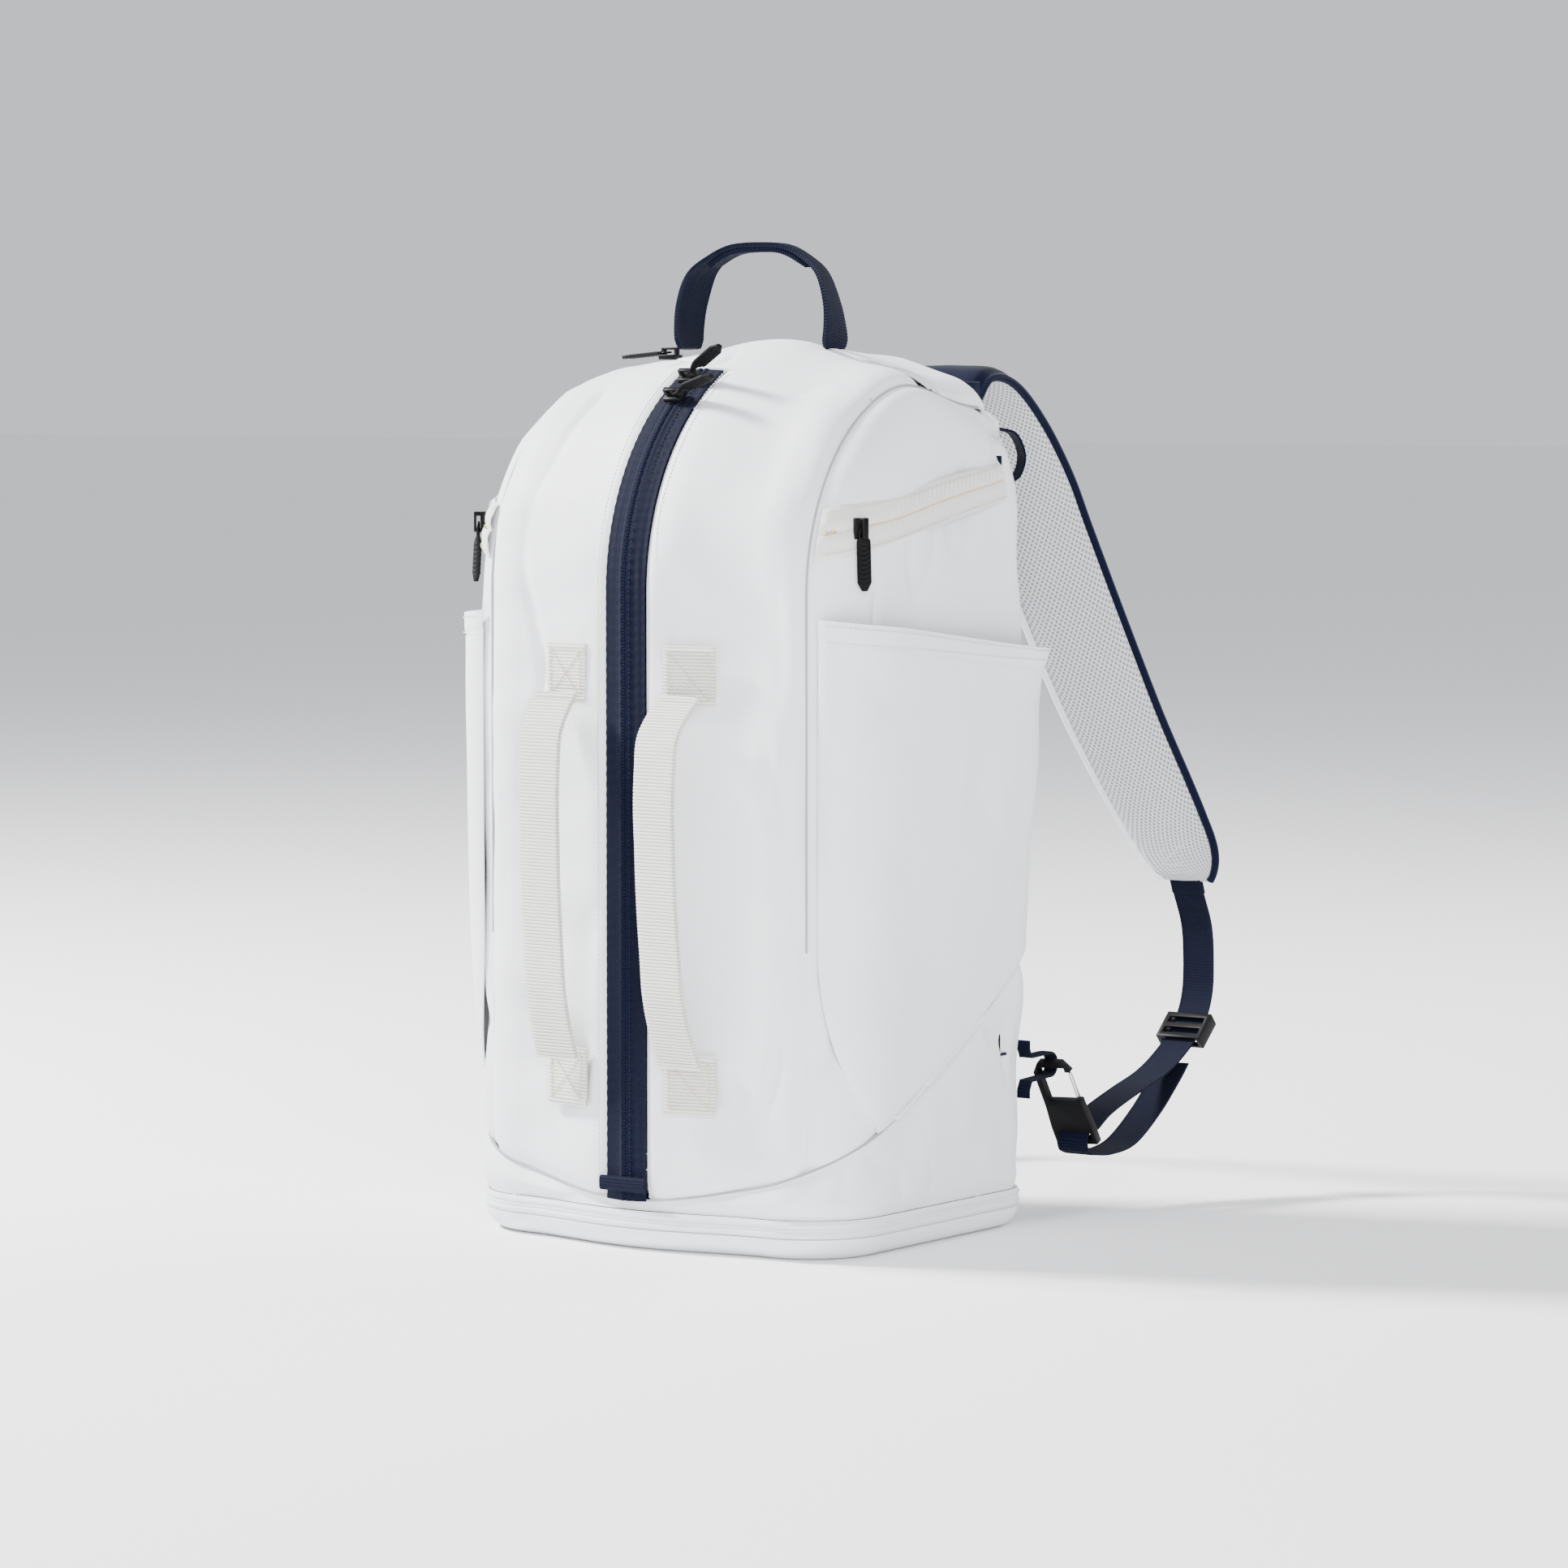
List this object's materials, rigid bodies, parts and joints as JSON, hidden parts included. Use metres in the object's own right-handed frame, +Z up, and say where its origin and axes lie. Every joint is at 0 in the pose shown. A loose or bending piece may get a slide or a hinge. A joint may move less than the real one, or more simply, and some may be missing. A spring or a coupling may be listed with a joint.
{
  "type": "racket backpack",
  "caption": "Racket backpack in pale coated fabric with navy central zip, ribbed front grips, haul loop and padded shoulder straps.",
  "frame": {"origin": "middle of the base, on the surface that the bag stands on", "axes": "+Z up, -Y towards the front with the central zip, +Y towards the shoulder straps"},
  "size_m": [0.364, 0.5205, 0.6765],
  "materials": {
    "white_fabric": "satin coated weave",
    "white_zip": "woven tape",
    "offwhite_webbing": "ribbed webbing",
    "spacer_mesh": "spacer mesh",
    "steel_wire": "polished",
    "black_rubber": "matte",
    "black_plastic": "satin",
    "board": "matte",
    "navy_fabric": "matte weave",
    "navy_webbing": "ribbed webbing"
  },
  "bodies": {
    "bag": {"anchor_loop_left": "navy_webbing", "anchor_loop_right": "navy_webbing", "back_pad_left": "spacer_mesh", "back_pad_right": "spacer_mesh", "back_panel": "navy_fabric", "base_board": "board", "base_panel": "white_fabric", "base_zip_tape": "white_zip", "boot_panel": "white_fabric", "frame_sheet": "board", "front_panel_left": "white_fabric", "front_panel_right": "white_fabric", "grip_tab_lower_left": "offwhite_webbing", "grip_tab_lower_right": "offwhite_webbing", "grip_tab_upper_left": "offwhite_webbing", "grip_tab_upper_right": "offwhite_webbing", "lower_webbing_left": "navy_webbing", "lower_webbing_right": "navy_webbing", "main_zip_coil": "navy_webbing", "main_zip_tab": "navy_webbing", "main_zip_tape": "navy_webbing", "rear_divider": "navy_fabric", "rear_zip_tape": "white_zip", "return_webbing_left": "navy_webbing", "return_webbing_right": "navy_webbing", "shoe_compartment_floor": "navy_fabric", "shoulder_strap_left": "spacer_mesh", "shoulder_strap_right": "spacer_mesh", "side_panel_left": "white_fabric", "side_panel_right": "white_fabric", "side_pocket_left": "white_fabric", "side_pocket_right": "white_fabric", "side_zip_tape_left": "offwhite_webbing", "side_zip_tape_right": "offwhite_webbing", "snap_hook_left": "black_plastic", "snap_hook_right": "black_plastic", "strap_anchor_patch": "navy_webbing", "top_panel": "white_fabric", "top_panel_rear": "white_fabric"},
    "main_zip_lower_slider": {"main_zip_lower_slider": "black_plastic"},
    "main_zip_lower_pull": {"main_zip_lower_pull": "black_rubber"},
    "main_zip_upper_slider": {"main_zip_upper_slider": "black_plastic"},
    "main_zip_upper_pull": {"main_zip_upper_pull": "black_rubber"},
    "side_zip_left_slider": {"side_zip_left_slider": "black_plastic"},
    "side_zip_left_pull": {"side_zip_left_pull": "black_rubber"},
    "side_zip_right_slider": {"side_zip_right_slider": "black_plastic"},
    "side_zip_right_pull": {"side_zip_right_pull": "black_rubber"},
    "rear_zip_slider": {"rear_zip_slider": "black_plastic"},
    "rear_zip_pull": {"rear_zip_pull": "black_rubber"},
    "base_zip_slider": {"base_zip_slider": "black_plastic"},
    "base_zip_pull": {"base_zip_pull": "black_rubber"},
    "haul_loop": {"haul_loop": "navy_webbing"},
    "front_grip_left": {"front_grip_left": "offwhite_webbing"},
    "front_grip_right": {"front_grip_right": "offwhite_webbing"},
    "ladder_lock_left": {"ladder_lock_left": "black_plastic"},
    "wire_gate_left": {"wire_gate_left": "steel_wire"},
    "ladder_lock_right": {"ladder_lock_right": "black_plastic"},
    "wire_gate_right": {"wire_gate_right": "steel_wire"}
  },
  "joints": [
    {"name": "main_zip_lower_travel", "type": "hinge", "parent": "bag", "child": "main_zip_lower_slider", "pos_m": [0, 0.029, 0.44], "axis": [1, 0, 0], "range_deg": [0, 50]},
    {"name": "main_zip_upper_travel", "type": "hinge", "parent": "bag", "child": "main_zip_upper_slider", "pos_m": [0, 0.029, 0.44], "axis": [-1, 0, 0], "range_deg": [0, 3]},
    {"name": "side_zip_left_travel", "type": "hinge", "parent": "bag", "child": "side_zip_left_slider", "pos_m": [-0.1, -0.056, 0.484], "axis": [0, 0, -1], "range_deg": [0, 22]},
    {"name": "side_zip_right_travel", "type": "hinge", "parent": "bag", "child": "side_zip_right_slider", "pos_m": [0.1, -0.056, 0.484], "axis": [0, 0, 1], "range_deg": [0, 22]},
    {"name": "rear_zip_travel", "type": "slide", "parent": "bag", "child": "rear_zip_slider", "axis": [0.9901, 0, 0.1403], "range_m": [0, 0.012]},
    {"name": "base_zip_travel", "type": "slide", "parent": "bag", "child": "base_zip_slider", "axis": [0, -1, 0], "range_m": [-0.045, 0.08]},
    {"name": "main_zip_lower_pull_swing", "type": "hinge", "parent": "main_zip_lower_slider", "child": "main_zip_lower_pull", "pos_m": [0, -0.08278, 0.57322], "axis": [0, -0.766, -0.6428], "range_deg": [-15, 120]},
    {"name": "main_zip_upper_pull_swing", "type": "hinge", "parent": "main_zip_upper_slider", "child": "main_zip_upper_pull", "pos_m": [0, -0.06571, 0.58584], "axis": [0, -0.8387, -0.5446], "range_deg": [-27, 108]},
    {"name": "side_zip_left_pull_swing", "type": "hinge", "parent": "side_zip_left_slider", "child": "side_zip_left_pull", "pos_m": [-0.15951, -0.09033, 0.4842], "axis": [-0.4907, 0.8713, 0], "range_deg": [0, 140]},
    {"name": "side_zip_right_pull_swing", "type": "hinge", "parent": "side_zip_right_slider", "child": "side_zip_right_pull", "pos_m": [0.15951, -0.09033, 0.4842], "axis": [-0.4907, -0.8713, 0], "range_deg": [0, 140]},
    {"name": "rear_zip_pull_swing", "type": "hinge", "parent": "rear_zip_slider", "child": "rear_zip_pull", "pos_m": [-0.096, 0.046, 0.60051], "axis": [0, 1, 0], "range_deg": [0, 150]},
    {"name": "base_zip_pull_swing", "type": "hinge", "parent": "base_zip_slider", "child": "base_zip_pull", "pos_m": [-0.1655, 0.03, 0.021], "axis": [0, 0, -1], "range_deg": [-4, 150]},
    {"name": "haul_loop_fold", "type": "hinge", "parent": "bag", "child": "haul_loop", "pos_m": [0, 0.02, 0.61572], "axis": [1, 0, 0], "range_deg": [-35, 35]},
    {"name": "front_grip_left_swing", "type": "hinge", "parent": "bag", "child": "front_grip_left", "pos_m": [-0.051, -0.1457, 0.25], "axis": [0, 0, 1], "range_deg": [-8, 8]},
    {"name": "front_grip_right_swing", "type": "hinge", "parent": "bag", "child": "front_grip_right", "pos_m": [0.051, -0.1457, 0.25], "axis": [0, 0, 1], "range_deg": [-8, 8]},
    {"name": "ladder_lock_left_travel", "type": "slide", "parent": "bag", "child": "ladder_lock_left", "axis": [-0.0029, -0.7449, -0.6672], "range_m": [-0.0025, 0.004]},
    {"name": "wire_gate_left_swing", "type": "hinge", "parent": "bag", "child": "wire_gate_left", "pos_m": [-0.16653, 0.16623, 0.08408], "axis": [0, 0.8734, 0.4871], "range_deg": [0, 25], "stiffness_Nm_per_rad": 0.004, "springref_deg": -11.46},
    {"name": "ladder_lock_right_travel", "type": "slide", "parent": "bag", "child": "ladder_lock_right", "axis": [0.0029, -0.7449, -0.6672], "range_m": [-0.0025, 0.004]},
    {"name": "wire_gate_right_swing", "type": "hinge", "parent": "bag", "child": "wire_gate_right", "pos_m": [0.16653, 0.16623, 0.08408], "axis": [0, -0.8734, -0.4871], "range_deg": [0, 25], "stiffness_Nm_per_rad": 0.004, "springref_deg": -11.46}
  ]
}
